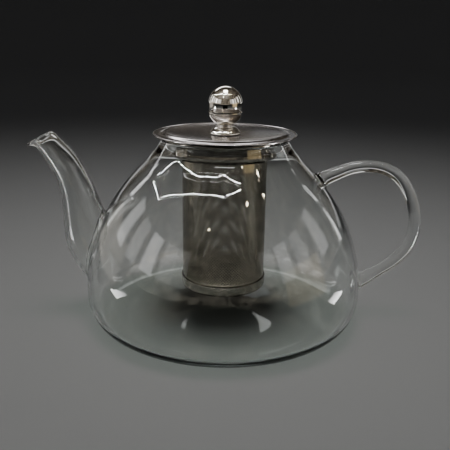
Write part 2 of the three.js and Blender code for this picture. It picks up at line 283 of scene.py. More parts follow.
class Wall:
    """A stretch of the pot's profile that tubes are melted on to."""

    def __init__(self, rows, stretch):
        order = np.argsort(rows[stretch, 1])
        self.heights = rows[stretch, 1][order]
        self.radii = rows[stretch, 0][order]
        self.numbers = np.array(stretch, float)[order]
        self.rows = rows
        self.spacing = np.linalg.norm(rows[stretch[1]] - rows[stretch[0]])

    def radius(self, height):
        return np.interp(height, self.heights, self.radii)

    def flat(self, points, centre):
        """Angle from the centre angle, and row number, of points on the wall."""
        angle = np.arctan2(points[:, 1], points[:, 0]) - centre
        number = np.interp(points[:, 2], self.heights, self.numbers)
        return np.column_stack([(angle + math.pi) % TURN - math.pi, number])

    def place(self, flat, centre):
        """The points of the wall at those angles and row numbers, and the wall's normals there."""
        numbers = np.arange(len(self.rows))
        radius, height = (np.interp(flat[:, 1], numbers, column) for column in self.rows.T)
        slopes = np.gradient(self.rows, axis=0).T
        along = np.column_stack([np.interp(flat[:, 1], numbers, column) for column in slopes])
        cosine, sine = np.cos(flat[:, 0] + centre), np.sin(flat[:, 0] + centre)
        points = np.column_stack([radius * cosine, radius * sine, height])
        return points, unit(np.column_stack([along[:, 1] * cosine, along[:, 1] * sine, -along[:, 0]]))


def tube(stations, sides):
    """Points [step, side] of a tube through stations, with a step about every 0.3 mm."""
    rows = curve(stations, 600)
    angles = np.arange(sides) * TURN / sides
    lean = np.radians(rows[:, 4])[:, None]
    in_plane = rows[:, 2:3] * np.cos(angles)
    x = rows[:, 0:1] + in_plane * np.cos(lean)
    y = rows[:, 3:4] * np.sin(angles)
    z = rows[:, 1:2] + in_plane * np.sin(lean)
    return np.stack([x, y, z], axis=-1)


def at_steps(points, steps):
    """The points of each side at its own fractional step."""
    sides = np.arange(points.shape[1])
    low = np.clip(steps.astype(int), 0, len(points) - 2)
    share = (steps - low)[:, None]
    return points[low, sides] * (1 - share) + points[low + 1, sides] * share


def crossing(points, wall, leaving):
    """The fractional step at which each side of a tube leaves the wall, or meets it again."""
    height = np.hypot(points[..., 0], points[..., 1]) - wall.radius(points[..., 2])
    signs = height > 0
    change = (signs[1:] & ~signs[:-1]) if leaving else (~signs[1:] & signs[:-1])
    last = len(change) - 1 - np.argmax(change[::-1], axis=0) if leaving else np.argmax(change, axis=0)
    sides = np.arange(points.shape[1])
    a, b = height[last, sides], height[last + 1, sides]
    return last + a / (a - b)


def fillet(points, steps, wall, centre, on_tube, on_wall, inward=1):
    """Where a tube is melted on to the wall, with the fillet between the two.

    Gives the footprint's outer loop on the wall in flat coordinates, the rings of the fillet from there to
    the tube, and the steps at which the tube goes on.
    """
    foot = at_steps(points, steps)
    pace = np.linalg.norm(np.diff(points, axis=0), axis=-1).mean(axis=0)
    away = steps + inward * on_tube / pace
    start = at_steps(points, away)
    flat = wall.flat(foot, centre)
    metric = np.column_stack([np.hypot(foot[:, 0], foot[:, 1]), np.full(len(foot), wall.spacing)])
    along = unit((np.roll(flat, -1, axis=0) - np.roll(flat, 1, axis=0)) * metric)
    outward = np.column_stack([along[:, 1], -along[:, 0]])
    middle = flat.mean(axis=0)
    outward *= np.sign(((flat - middle) * metric * outward).sum())
    loop = flat + outward * on_wall / metric
    edge, _ = wall.place(loop, centre)
    shares = np.linspace(0, 1, 8)
    rings = [(1 - t) ** 2 * edge + 2 * t * (1 - t) * foot + t**2 * start for t in shares]
    for t, ring in zip(shares, rings):
        lump = [noise.noise(Vector(point) / WELD_LUMP) for point in ring]
        ring += unit(ring - ring.mean(axis=0)) * np.array(lump)[:, None] * WELD_RIPPLE * math.sin(math.pi * t)
    return loop, rings, away


def inside_loop(loop, points):
    """Which points lie inside a closed loop of 2-D points."""
    ends = np.roll(loop, -1, axis=0)
    x, y = points[:, 0:1], points[:, 1:2]
    spans = (loop[:, 1] > y) != (ends[:, 1] > y)
    rise = np.where(ends[:, 1] == loop[:, 1], 1e-12, ends[:, 1] - loop[:, 1])
    left = x < loop[:, 0] + (y - loop[:, 1]) * (ends[:, 0] - loop[:, 0]) / rise
    return (spans & left).sum(axis=1) % 2 == 1


class Opening:
    """A loop cut through one wall of the pot, and the cells of the pot's grid that are filled in round it."""

    # The least distance in millimetres from a corner of the grid to the loop.
    CLEARANCE = 1.2

    def __init__(self, loop, wall, centre):
        self.loop, self.wall, self.centre = loop, wall, centre
        self.cell = TURN / BODY_SEGMENTS
        columns = (loop[:, 0] + centre) / self.cell
        self.columns = np.arange(math.floor(columns.min()) - 1, math.ceil(columns.max()) + 2)
        self.rows = np.arange(math.floor(loop[:, 1].min()) - 1, math.ceil(loop[:, 1].max()) + 2)

    def cells(self):
        """The cells of the pot's grid that are left out, as (row, column)."""
        return {(int(r), int(c) % BODY_SEGMENTS) for r in self.rows[:-1] for c in self.columns[:-1]}

    def fill(self, skin, grid):
        """Triangles between the cells' outer edge and the loop. Gives the loop's vertices."""
        points, normals = self.wall.place(self.loop, self.centre)
        loop = skin.add(points, normals)
        metric = np.array([np.hypot(points[:, 0], points[:, 1]).mean(), self.wall.spacing])
        flat_loop = self.loop * metric
        flats, numbers = [*flat_loop], [*loop]
        edge_at = {}
        for r in self.rows:
            for c in self.columns:
                flat = np.array([c * self.cell - self.centre, r]) * metric
                border = r in (self.rows[0], self.rows[-1]) or c in (self.columns[0], self.columns[-1])
                far = np.linalg.norm(flat_loop - flat, axis=1).min() > self.CLEARANCE
                if border or (far and not inside_loop(flat_loop, flat[None])[0]):
                    edge_at[(r, c)] = len(flats)
                    flats.append(flat)
                    numbers.append(grid[int(r), int(c) % BODY_SEGMENTS])
        count = len(loop)
        edges = [(k, (k + 1) % count) for k in range(count)]
        for r in (self.rows[0], self.rows[-1]):
            edges += [(edge_at[(r, c)], edge_at[(r, c + 1)]) for c in self.columns[:-1]]
        for c in (self.columns[0], self.columns[-1]):
            edges += [(edge_at[(r, c)], edge_at[(r + 1, c)]) for r in self.rows[:-1]]
        made = delaunay_2d_cdt([Vector(f) for f in flats], edges, [], 0, 1e-6)
        places, faces, origins = np.array([list(v) for v in made[0]]), made[2], made[3]
        middles = np.array([places[list(face)].mean(axis=0) for face in faces])
        for face, hidden in zip(faces, inside_loop(flat_loop, middles)):
            if not hidden:
                skin.faces.append(tuple(numbers[origins[v][0]] for v in face))
        return loop


def add_rings(skin, rings, first, last):
    """Vertices of the rings between two loops that are there already, with the faces that join them all."""
    rings = np.array(rings)
    across = np.gradient(rings, axis=0)
    around = np.roll(rings, -1, axis=1) - np.roll(rings, 1, axis=1)
    normals = unit(np.cross(across, around))
    numbers = skin.add(rings[1:-1], normals[1:-1])
    skin.stitch([first, *numbers, last])


def make_pot():
    """The turned body, with the spout and the handle melted on and the spout's bore cut through."""
    rows, directions, outer, inner = pot_profile()
    outside, inside = Wall(rows, outer), Wall(rows, inner)

    # The spout: up its outside, round its lip and down its bore.
    bore_stations = [(x, z, a - SPOUT_WALL, b - SPOUT_WALL, lean) for x, z, a, b, lean in [BORE_ROOT, *SPOUT]]
    spout, bore = tube(SPOUT, LIP_SIDES), tube(bore_stations, LIP_SIDES)
    outer_loop, outer_rings, outer_start = fillet(
        spout, crossing(spout, outside, True), outside, math.pi, on_tube=4, on_wall=3)
    inner_loop, inner_rings, inner_start = fillet(
        bore, crossing(bore, inside, True), inside, math.pi, on_tube=2.5, on_wall=1.5)
    climb = np.linspace(0, 1, 64)[1:, None]
    spout_end, bore_end = LIP_START * (len(spout) - 1), LIP_START * (len(bore) - 1)
    up = np.array([at_steps(spout, s) for s in outer_start + climb * (spout_end - outer_start)])
    outward = unit(np.cross(np.roll(up, -1, axis=1) - np.roll(up, 1, axis=1), np.gradient(up, axis=0)))
    pouring_side = 0.3 + 0.7 * (0.5 - 0.5 * np.cos(np.arange(LIP_SIDES) * TURN / LIP_SIDES)) ** 3
    to_lip = np.linalg.norm(up - up[-1], axis=2)
    up += outward * (LIP_BEAD * pouring_side * np.exp(-((to_lip / LIP_REACH) ** 2)))[..., None]
    down = [at_steps(bore, s) for s in inner_start + climb * (bore_end - inner_start)][::-1]
    middle, half = (up[-1] + down[0]) / 2, (up[-1] - down[0]) / 2
    ahead = unit(up[-1] - up[-2]) * np.linalg.norm(half, axis=1)[:, None]
    turn = np.linspace(0, math.pi, 9)[1:-1]
    round_lip = [middle + half * math.cos(t) + ahead * math.sin(t) for t in turn]

    # The handle, which is thicker at its two welds.
    line = curve(HANDLE, 40)
    direction = np.degrees(np.arctan2(*np.gradient(line, axis=0).T[::-1]))
    place = np.linspace(0, 15, 41)
    near_top, near_foot = np.clip(1 - place / 2, 0, 1), np.clip(1 - (15 - place) / 2, 0, 1)
    size = ROD_RADIUS + near_top * TOP_WELD + near_foot * FOOT_WELD
    rod = tube(np.column_stack([line, size, size, np.unwrap(direction, period=360) - 90]), ROD_SIDES)
    top_loop, top_rings, top_start = fillet(
        rod, crossing(rod, outside, True), outside, 0, on_tube=2.5, on_wall=2)
    foot_loop, foot_rings, foot_start = fillet(
        rod, crossing(rod, outside, False), outside, 0, on_tube=3.5, on_wall=2.5, inward=-1)
    reach = np.linspace(0, 1, 90)[1:-1, None]
    along = [at_steps(rod, s) for s in top_start + reach * (foot_start - top_start)]

    openings = [
        Opening(outer_loop, outside, math.pi), Opening(inner_loop, inside, math.pi),
        Opening(top_loop, outside, 0), Opening(foot_loop, outside, 0),
    ]
    skin = Skin()
    grid = skin.turn(rows, directions, BODY_SEGMENTS, False, set().union(*(o.cells() for o in openings)))
    outer_edge, inner_edge, top_edge, foot_edge = (opening.fill(skin, grid) for opening in openings)
    add_rings(skin, [*outer_rings, *up, *round_lip, *down, *inner_rings[::-1]], outer_edge, inner_edge)
    add_rings(skin, [*top_rings, *along, *foot_rings[::-1]], top_edge, foot_edge)
    return skin.piece("pot_glass")


# ---- Steel: the infuser ----

STEEL_SEGMENTS = 144
SHEET = 0.5
MESH_SHEET = 0.4


def turned(name, points, segments=STEEL_SEGMENTS, closed=True):
    """A turned piece: a ring if its profile closes on itself."""
    skin = Skin()
    places, directions = profile(points, closed)
    skin.turn(places, directions, segments, closed)
    return skin.piece(name)


def make_collar():
    """Flange, collar, shoulder and inner sleeve, stamped from one sheet."""
    low, high = corners("infuser_rim")
    flange, top = high.x, high.z
    collar, flange_bottom, shoulder = 27, top - 0.7, 92.1
    sleeve = corners("infuser_wall")[1].x - MESH_SHEET - 0.3
    return turned("infuser_collar", [
        (flange, flange_bottom, 0.3), (flange, top, 0.3), (collar - SHEET, top, 1.1),
        (collar - SHEET, shoulder + SHEET, 0.9), (sleeve - SHEET, shoulder - 1.1, 0.8),
        (sleeve - SHEET, low.z, 0.1), (sleeve, low.z, 0.1), (sleeve, shoulder - 1.7, 0.5),
        (collar - 0.3, shoulder, 0.9),
        (collar, shoulder + 0.9, 0.6), (collar, flange_bottom, 0.5),
    ])


HOLE_COLUMNS = 90
HOLE_ROWS = 76
HOLE_SIDES = 6
HOLE_RADIUS = 0.39


def make_perforated_wall():
    """A rolled sheet with staggered holes right through it, and plain margins at its two ends."""
    low, high = corners("infuser_wall")
    radius = high.x
    pitch = TURN / HOLE_COLUMNS
    row_height = radius * pitch / 2
    first_row = (low.z + high.z + 1 - (HOLE_ROWS - 1) * row_height) / 2
    skin = Skin()

    def ring(angles, heights, at):
        facing = np.stack([np.cos(angles), np.sin(angles), np.zeros_like(angles)], axis=-1)
        place = facing * at
        place[..., 2] = heights
        return skin.add(place, facing)

    around = np.radians(np.arange(HOLE_SIDES) * 60)
    row = np.arange(HOLE_ROWS)[:, None, None]
    column = np.arange(HOLE_COLUMNS)[None, :, None]
    angles = pitch * (column + row % 2 / 2) + HOLE_RADIUS / radius * np.cos(around)
    heights = first_row + row_height * row + HOLE_RADIUS * np.sin(around) + 0 * column
    edge_angles = pitch * (np.arange(HOLE_COLUMNS) + (HOLE_ROWS - 1) % 2 / 2)
    margin = row_height * 0.9
    last_row = first_row + (HOLE_ROWS - 1) * row_height
    sides = []
    for at in (radius, radius - MESH_SHEET):
        holes = ring(angles, heights, at)
        bottom = ring(pitch * np.arange(HOLE_COLUMNS), first_row - margin, at)
        bottom_end = ring(pitch * np.arange(HOLE_COLUMNS), low.z, at)
        top = ring(edge_angles, last_row + margin, at)
        top_end = ring(edge_angles, high.z, at)
        sides.append((holes, bottom_end, top_end))
        skin.stitch([bottom_end, bottom])
        skin.stitch([top, top_end])
        for r in range(HOLE_ROWS):
            shift = r % 2
            for c in range(HOLE_COLUMNS):
                here, beside = holes[r, c], holes[r, (c + 1) % HOLE_COLUMNS]
                face = [here[0]]
                if r > 0:
                    below = holes[r - 1, (c + shift) % HOLE_COLUMNS]
                    below_left = holes[r - 1, (c + shift - 1) % HOLE_COLUMNS]
                    skin.faces.append((here[0], here[5], below[3], below[2]))
                    skin.faces.append((here[4], here[3], below_left[1], below_left[0]))
                    face += [below[2], below[1]]
                else:
                    skin.faces.append((bottom[c], here[5], here[4]))
                    face += [here[5], bottom[c], bottom[(c + 1) % HOLE_COLUMNS], beside[4]]
                face.append(beside[3])
                if r < HOLE_ROWS - 1:
                    above = holes[r + 1, (c + shift) % HOLE_COLUMNS]
                    face += [above[5], above[4]]
                else:
                    skin.faces.append((top[c], here[1], here[2]))
                    face += [beside[2], top[(c + 1) % HOLE_COLUMNS], top[c], here[1]]
                skin.faces.append(tuple(face))
    (outer, outer_bottom, outer_top), (inner, inner_bottom, inner_top) = sides
    for hole_out, hole_in in zip(outer.reshape(-1, HOLE_SIDES), inner.reshape(-1, HOLE_SIDES)):
        skin.stitch([hole_out, hole_in])
    skin.stitch([outer_bottom, inner_bottom])
    skin.stitch([outer_top, inner_top])
    made = skin.piece("infuser_mesh_wall", own_normals=False)
    made.data.set_sharp_from_angle(angle=math.radians(35))
    return made


def make_cup():
    """The plain cup over the basket's foot, with a rolled top edge and a stepped bottom."""
    low, high = corners("infuser_cup")
    inner = high.x - MESH_SHEET
    return turned("infuser_foot_cup", [
        (0, low.z + 0.5), (10, low.z + 0.5), (11, low.z + 0.45), (12, low.z + 0.05), (13, low.z),
        (high.x, low.z, 2.2), (high.x, high.z, 0.18), (inner, high.z, 0.18), (inner, low.z + SHEET, 1.7),
        (13.2, low.z + SHEET), (12.2, low.z + 0.55), (11.2, low.z + 0.95), (10, low.z + 1), (0, low.z + 1),
    ], closed=False)


# ---- Steel: the lid and its knob ----

EDGE_RADIUS = 0.4
EDGE_RISE = 0.42
LID_SHEET = 0.7
SCREW_BORE = 2.3


def make_lid():
    """A pressed disc: dished middle, raised shoulder, a nearly level border and a folded edge."""
    low, high = corners("lid_plate")
    centre = low.z + LID_SHEET
    shoulder = [
        (9, 0), (15, 0.13), (20, 0.35), (25, 0.68), (28, 0.98), (29.5, 1.2), (30.5, 1.38), (31.2, 1.5),
        (31.7, 1.54), (32.2, 1.5), (32.6, 1.38), (33, 1.2), (33.4, 1), (33.8, 0.83), (34.2, 0.71),
        (34.7, 0.64), (35.4, 0.62), (36.4, 0.62),
    ]
    edge = arc(high.x - EDGE_RADIUS, EDGE_RISE, EDGE_RADIUS, 140, -140, 16)
    under = [(r, z - LID_SHEET) for r, z in reversed(shoulder[:-2])]
    outline = [(SCREW_BORE, 0, 0.05), *shoulder, *map(tuple, edge), *under, (SCREW_BORE, -LID_SHEET, 0.05)]
    return turned("lid_disc", [(r, z + centre, *rounding) for r, z, *rounding in outline], segments=192)


def make_skirt():
    """The ring under the lid, spread at its top, that centres the lid in the collar."""
    low, high = corners("lid_skirt")
    skirt = 26.1
    return turned("lid_centring_ring", [
        (skirt, low.z, 0.2), (skirt, high.z - SHEET, 0.4), (high.x, high.z - SHEET, 0.2),
        (high.x, high.z, 0.2), (skirt - SHEET, high.z, 0.9), (skirt - SHEET, low.z, 0.2),
    ])


def make_pedestal():
    """A cone with a narrow rim round its foot, and a groove under the ball."""
    low, high = corners("knob_pedestal")
    wide, neck, groove = high.x, 5.1, 4.3
    return turned("knob_foot", [
        (SCREW_BORE, low.z, 0.1), (wide - 0.1, low.z, 0.15), (wide, low.z + 0.35, 0.2),
        (wide - 0.1, low.z + 0.7, 0.2), (7.35, 103.4), (6.5, 104.35), (5.8, 104.95), (neck, 105.35, 0.2),
        (groove, 105.5, 0.15), (groove, high.z, 0.1), (SCREW_BORE, high.z, 0.1),
    ], segments=72)


BALL_SHEET = 0.6


def make_knob_cup():
    """Lower half of the ball, with a narrow lip under the seam."""
    low, high = corners("knob_cup")
    outer = [
        (4.7, low.z, 0.2), (6.2, 107.8), (7.5, 109.3), (8.35, 111), (8.68, 112.1), (8.74, 112.45, 0.1),
        (high.x, 112.55, 0.1), (high.x, high.z, 0.12),
    ]
    floor = low.z + BALL_SHEET
    inner = [(high.x - BALL_SHEET, high.z, 0.05), (8, 111.6), (7.1, 109.8), (5.8, 108.4), (4.4, floor, 0.2)]
    bore = [(SCREW_BORE, floor, 0.05), (SCREW_BORE, low.z, 0.05)]
    return turned("knob_lower_half", [*outer, *inner, *bore], segments=96)


def make_knob_cap():
    """Upper half of the ball, turned in at its open edge."""
    low, high = corners("knob_cap")
    half_height = 9.3
    centre = high.z - half_height
    angles = np.radians(np.linspace(-23, 90, 30))

    def shell(inset):
        across, up = high.x - inset, half_height - inset
        return [(across * math.cos(a), centre + up * math.sin(a)) for a in angles]

    outer, inner = shell(0), shell(BALL_SHEET)
    inner[-1], outer[-1] = (0, inner[-1][1]), (0, outer[-1][1])
    edge = [(outer[0][0] - BALL_SHEET, low.z, 0.1), (outer[0][0] - 0.05, low.z, 0.12)]
    return turned("knob_upper_half", [*inner[:0:-1], *edge, *outer[1:]], segments=96, closed=False)


def make_washer():
    low, high = corners("screw_washer")
    return turned("knob_washer", [
        (SCREW_BORE, low.z, 0.05), (high.x, low.z, 0.12), (high.x, high.z, 0.12), (SCREW_BORE, high.z, 0.05),
    ], segments=48)


def make_nut():
    """A hexagon nut with the usual chamfers."""
    low, high = corners("knob_nut")
    sides = 60
    angles = np.arange(sides) * TURN / sides
    flat = high.x * math.cos(math.pi / 6)
    hexagon = flat / np.cos((angles + math.pi / 6) % (math.pi / 3) - math.pi / 6)
    skin = Skin()
    rings = []
    for size, height in [
        (SCREW_BORE, low.z + 0.25), (SCREW_BORE + 0.25, low.z), (flat - 0.1, low.z),
        (high.x, low.z + 0.35), (high.x, high.z - 0.35), (flat - 0.1, high.z),
        (SCREW_BORE + 0.25, high.z), (SCREW_BORE, high.z - 0.25),
    ]:
        radius = np.minimum(size, hexagon)
        place = np.column_stack([np.cos(angles) * radius, np.sin(angles) * radius, np.full(sides, height)])
        rings.append(skin.add(place, place))
    skin.stitch(rings, closed=True)
    made = skin.piece("knob_hex_nut", own_normals=False)
    made.data.set_sharp_from_angle(angle=math.radians(25))
    return made


def make_screw():
    """A pan-head screw with a cross recess in its head, which points down."""
    low, high = corners("knob_screw")
    head, shank, head_height = high.x, 2.0, 1.9
    body = turned("knob_pan_screw", [
        (0, low.z), (head * 0.5, low.z + 0.08), (head * 0.8, low.z + 0.4), (head, low.z + 1.1, 0.3),
        (head, low.z + head_height, 0.1), (shank, low.z + head_height, 0.1), (shank, high.z - 0.5, 0.1),
        (shank - 0.45, high.z, 0.1), (0, high.z),
    ], segments=48, closed=False)
    for angle in (0, math.pi / 2):
        cutter = bpy.data.meshes.new("recess")
        shape = bmesh.new()
        bmesh.ops.create_cone(
            shape, cap_ends=True, segments=4, radius1=2.1 * MM, radius2=1.1 * MM, depth=2.4 * MM,
            matrix=Matrix.Translation((0, 0, low.z * MM)) @ Matrix.Rotation(angle, 4, "Z")
            @ Matrix.Diagonal((1, 0.32, 1, 1)) @ Matrix.Rotation(math.pi / 4, 4, "Z"),
        )
        shape.to_mesh(cutter)
        shape.free()
        tool = bpy.data.objects.new("recess", cutter)
        bpy.context.scene.collection.objects.link(tool)
        cut = body.modifiers.new("recess", "BOOLEAN")
        cut.operation = "DIFFERENCE"
        cut.object = tool
        bpy.context.view_layer.update()
        depsgraph = bpy.context.evaluated_depsgraph_get()
        body.data = bpy.data.meshes.new_from_object(body.evaluated_get(depsgraph))
        body.modifiers.clear()
        bpy.data.objects.remove(tool)
    body.data.set_sharp_from_angle(angle=math.radians(35))
    return body


# ---- Materials ----


def new_material(name):
    """A material with its node tree, its links and its shader."""
    material = bpy.data.materials.new(name)
    material.use_nodes = True
    nodes, links = material.node_tree.nodes, material.node_tree.links
    shader = nodes["Principled BSDF"]
    return material, nodes, links, shader


def noise_texture(nodes, links, vector, scale, detail, roughness=0.5):
    texture = nodes.new("ShaderNodeTexNoise")
    texture.inputs["Scale"].default_value = scale
    texture.inputs["Detail"].default_value = detail
    texture.inputs["Roughness"].default_value = roughness
    links.new(vector, texture.inputs["Vector"])
    return texture.outputs["Fac"]


def spread(nodes, links, value, low, high, start=0.3, end=0.7):
    """Maps a texture's value to a range."""
    node = nodes.new("ShaderNodeMapRange")
    node.inputs["From Min"].default_value = start
    node.inputs["From Max"].default_value = end
    node.inputs["To Min"].default_value = low
    node.inputs["To Max"].default_value = high
    links.new(value, node.inputs["Value"])
    return node.outputs["Result"]


def bump(nodes, links, shader, height, distance, strength):
    """Bumps as high as the distance, in millimetres."""
    node = nodes.new("ShaderNodeBump")
    node.inputs["Distance"].default_value = distance * MM
    node.inputs["Strength"].default_value = strength
    links.new(height, node.inputs["Height"])
    links.new(node.outputs["Normal"], shader.inputs["Normal"])


def place_in_piece(nodes):
    return nodes.new("ShaderNodeTexCoord").outputs["Object"]


def round_the_axis(nodes, links, stretch):
    """Texture space with angle, radius and height as its axes, so that marks run round the piece."""
    split = nodes.new("ShaderNodeSeparateXYZ")
    links.new(place_in_piece(nodes), split.inputs["Vector"])
    angle = nodes.new("ShaderNodeMath")
    angle.operation = "ARCTAN2"
    links.new(split.outputs["Y"], angle.inputs[0])
    links.new(split.outputs["X"], angle.inputs[1])
    flat = nodes.new("ShaderNodeCombineXYZ")
    links.new(split.outputs["X"], flat.inputs["X"])
    links.new(split.outputs["Y"], flat.inputs["Y"])
    radius = nodes.new("ShaderNodeVectorMath")
    radius.operation = "LENGTH"
    links.new(flat.outputs["Vector"], radius.inputs[0])
    joined = nodes.new("ShaderNodeCombineXYZ")
    links.new(angle.outputs["Value"], joined.inputs["X"])
    links.new(radius.outputs["Value"], joined.inputs["Y"])
    links.new(split.outputs["Z"], joined.inputs["Z"])
    scaled = nodes.new("ShaderNodeMapping")
    scaled.inputs["Scale"].default_value = stretch
    links.new(joined.outputs["Vector"], scaled.inputs["Vector"])
    return scaled.outputs["Vector"]


def steel(name, dark, light, smoothest, roughest, scratch):
    """Stainless steel with a cloudy polish and fine marks that run round the piece."""
    material, nodes, links, shader = new_material(name)
    shader.inputs["Metallic"].default_value = 1
    place = place_in_piece(nodes)
    cloud = noise_texture(nodes, links, place, scale=90, detail=3)
    mix = nodes.new("ShaderNodeMix")
    mix.data_type = "RGBA"
    mix.inputs[6].default_value = (*dark, 1)
    mix.inputs[7].default_value = (*light, 1)
    links.new(cloud, mix.inputs[0])
    links.new(mix.outputs[2], shader.inputs["Base Color"])
    around = round_the_axis(nodes, links, (1.2, 9000, 9000))
    marks = noise_texture(nodes, links, around, scale=1, detail=4, roughness=0.7)
    links.new(spread(nodes, links, marks, smoothest, roughest), shader.inputs["Roughness"])
    bump(nodes, links, shader, marks, distance=0.01, strength=scratch)
    return material


def clear_glass():
    """Blown glass: faint waves in its surface, a breath of green, and lamps shine through it."""
    material, nodes, links, shader = new_material("clear_glass")
    shader.inputs["Transmission Weight"].default_value = 1
    shader.inputs["IOR"].default_value = 1.47
    shader.inputs["Roughness"].default_value = 0
    shader.inputs["Base Color"].default_value = (0.985, 0.997, 0.99, 1)
    waves = noise_texture(nodes, links, place_in_piece(nodes), scale=38, detail=1.5)
    bump(nodes, links, shader, waves, distance=0.6, strength=0.1)
    through = nodes.new("ShaderNodeBsdfTransparent")
    through.inputs["Color"].default_value = (0.94, 0.96, 0.95, 1)
    path = nodes.new("ShaderNodeLightPath")
    shown = shader.outputs["BSDF"]
    for ray in ("Is Shadow Ray", "Is Diffuse Ray"):
        either = nodes.new("ShaderNodeMixShader")
        links.new(path.outputs[ray], either.inputs["Fac"])
        links.new(shown, either.inputs[1])
        links.new(through.outputs["BSDF"], either.inputs[2])
        shown = either.outputs["Shader"]
    links.new(shown, nodes["Material Output"].inputs["Surface"])
    return material


def floor_material():
    material, nodes, links, shader = new_material("floor")
    shader.inputs["Base Color"].default_value = (0.62, 0.62, 0.61, 1)
    shader.inputs["Roughness"].default_value = 0.8
    shader.inputs["Specular IOR Level"].default_value = 0
    return material


# ---- The assembled teapot ----

glass = clear_glass()
mirror_steel = steel("polished_steel", (0.76, 0.74, 0.7), (0.86, 0.84, 0.8), 0.04, 0.09, 0.03)
# Painted shade: the basket's steel is darker and warmer than bare steel, to give the dark, warm look of its
# reflections.
painted_shade_basket_steel = steel("perforated_steel", (0.34, 0.32, 0.27), (0.43, 0.4, 0.34), 0.1, 0.17, 0.0)
# Painted shade: the lid's steel is darker than bare steel, to give the dark look of what it reflects.
painted_shade_lid_steel = steel("painted_shade_lid_steel", (0.46, 0.44, 0.44), (0.55, 0.53, 0.53), 0.15, 0.21, 0.03)
# Painted shade: the collar and the foot cup get this steel, darker than bare steel, to give the dark look of
# their reflections.
painted_shade_steel = steel("painted_shade_steel", (0.28, 0.27, 0.24), (0.38, 0.36, 0.33), 0.05, 0.1, 0.02)
dull_steel = steel("plain_steel", (0.45, 0.44, 0.43), (0.58, 0.57, 0.55), 0.25, 0.4, 0.15)

PIECES = [
    (make_pot, "pot", glass, "clear_glass", ["glass_body", "glass_spout", "glass_handle"]),
    (make_collar, "infuser", painted_shade_steel, "polished_steel", ["infuser_rim"]),
    (make_perforated_wall, "infuser", painted_shade_basket_steel, "perforated_steel", ["infuser_wall"]),
    (make_cup, "infuser", painted_shade_steel, "polished_steel", ["infuser_cup"]),
    (make_lid, "lid", painted_shade_lid_steel, "polished_steel", ["lid_plate"]),
    (make_skirt, "lid", dull_steel, "plain_steel", ["lid_skirt"]),
    (make_pedestal, "lid", mirror_steel, "polished_steel", ["knob_pedestal"]),
    (make_knob_cup, "lid", mirror_steel, "polished_steel", ["knob_cup"]),
    (make_knob_cap, "lid", mirror_steel, "polished_steel", ["knob_cap"]),
    (make_screw, "lid", dull_steel, "plain_steel", ["knob_screw"]),
    (make_washer, "lid", dull_steel, "plain_steel", ["screw_washer"]),
    (make_nut, "lid", dull_steel, "plain_steel", ["knob_nut"]),
]
for make, body, material, slot, nodes in PIECES:
    made = make()
    made.data.materials.clear()
    made.data.materials.append(material)
    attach(made, body)
    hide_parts(*nodes)


# ---- Studio ----

POT_MIDDLE = Vector((0, 0, 0.06))


def lamp(name, place, width, height, radiance, colour=(1, 1, 1), aim=POT_MIDDLE, beam=180, on_floor=False):
    """A rectangular lamp. Unless it is on_floor, it shows only in the glass and the steel."""
    data = bpy.data.lights.new(name, "AREA")
    data.shape = "RECTANGLE"
    data.size, data.size_y = width, height
    data.energy = radiance * width * height * math.pi
    data.color = colour
    data.spread = math.radians(beam)
    made = bpy.data.objects.new(name, data)
    bpy.context.scene.collection.objects.link(made)
    made.location = place
    made.rotation_mode = "QUATERNION"
    made.rotation_quaternion = (Vector(aim) - Vector(place)).to_track_quat("-Z", "Y")
    made.visible_camera = False
    made.visible_diffuse = on_floor
    return made


def line_lamp(name, start, end, width, radiance, beam=180):
    """A long, narrow lamp between two points, which draws a line on the glass."""
    start, end = Vector(start), Vector(end)
    made = lamp(name, (start + end) / 2, (end - start).length, width, radiance, beam=beam)
    along = (end - start).normalized()
    away = made.location - POT_MIDDLE
    away = (away - along * away.dot(along)).normalized()
    made.rotation_quaternion = Matrix((along, away.cross(along), away)).transposed().to_quaternion()
    return made


def at_bearing(bearing, elevation, distance):
    """A point at a bearing from the pot, counted from the front round to the right, and at an elevation."""
    turn, climb = math.radians(bearing), math.radians(elevation)
    level = math.cos(climb)
    return Vector((math.sin(turn) * level, -math.cos(turn) * level, math.sin(climb))) * distance


def turned_backdrop(name, outline):
    """A piece of the studio, turned about the pot's axis."""
    skin = Skin()
    outline = np.array(outline, float)
    skin.turn(outline, unit(np.gradient(outline, axis=0)), 96, False)
    made = skin.piece(name)
    return made


def make_floor():
    """A pale floor that rises into a wall far away, so that no horizon shows."""
    level, reach, rise = -0.05, 2400, 900
    bend = arc(reach, level + rise, rise, -90, 0, 16)
    outline = [(0, level), (300, level), (reach, level), *bend[1:], (reach + rise, 2600)]
    floor = turned_backdrop("floor", outline)
    floor.data.materials.append(floor_material())


